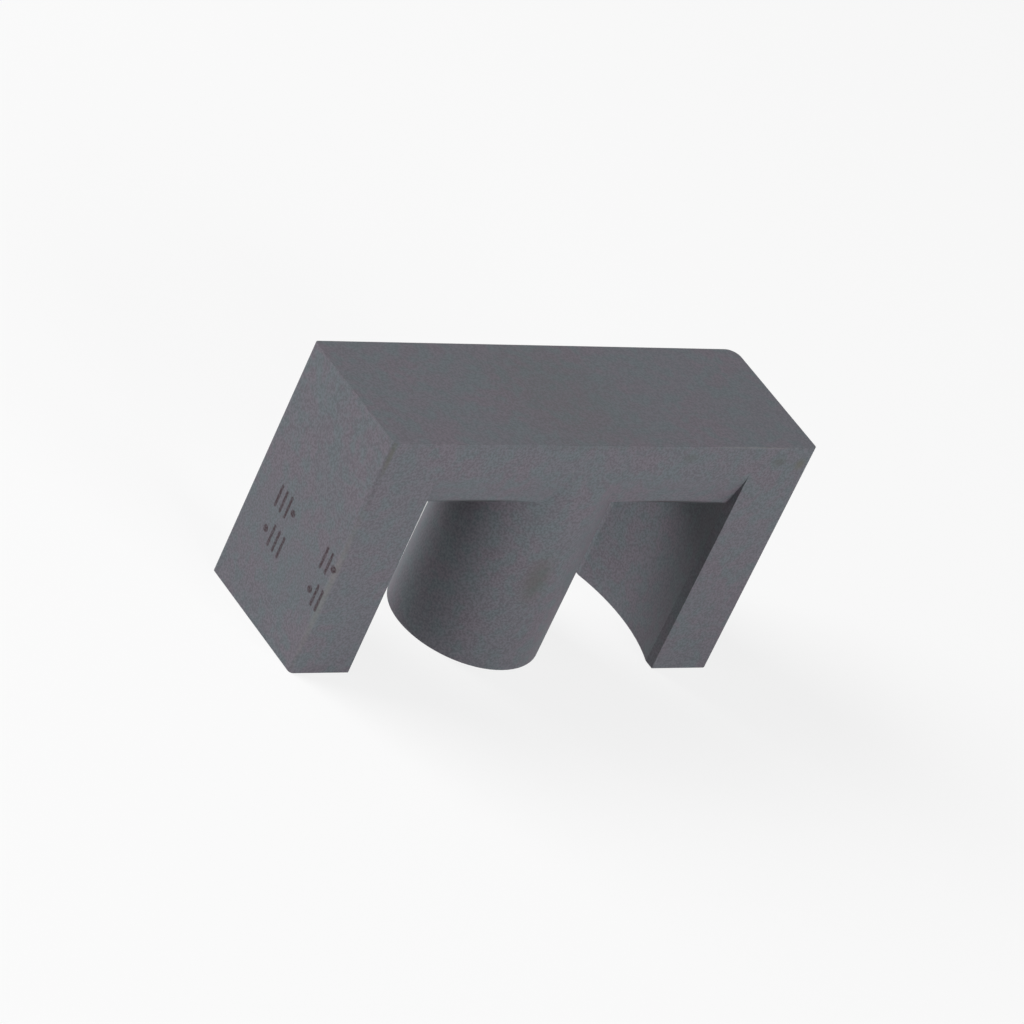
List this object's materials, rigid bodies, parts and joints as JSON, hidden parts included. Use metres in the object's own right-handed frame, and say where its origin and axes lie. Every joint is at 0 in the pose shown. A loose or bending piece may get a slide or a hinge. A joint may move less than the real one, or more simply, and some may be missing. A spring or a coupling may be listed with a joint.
{
  "type": "ferrite e core half",
  "caption": "One-piece pressed ferrite E core half with a round centre post, a flat back and outer legs that are hollowed to the coil's radius.",
  "frame": {"origin": "on the axis of the centre post, in the plane of the three mating faces that the core stands on, which is the middle of the bottom of its box", "axes": "+X along the core from one outer leg to the other, +Y through its width towards the back, +Z from the mating faces up to the back of the yoke"},
  "size_m": [0.0298, 0.0094, 0.0159],
  "materials": {
    "ferrite": "matte"
  },
  "bodies": {
    "root": {"core_half": "ferrite"}
  },
  "joints": []
}
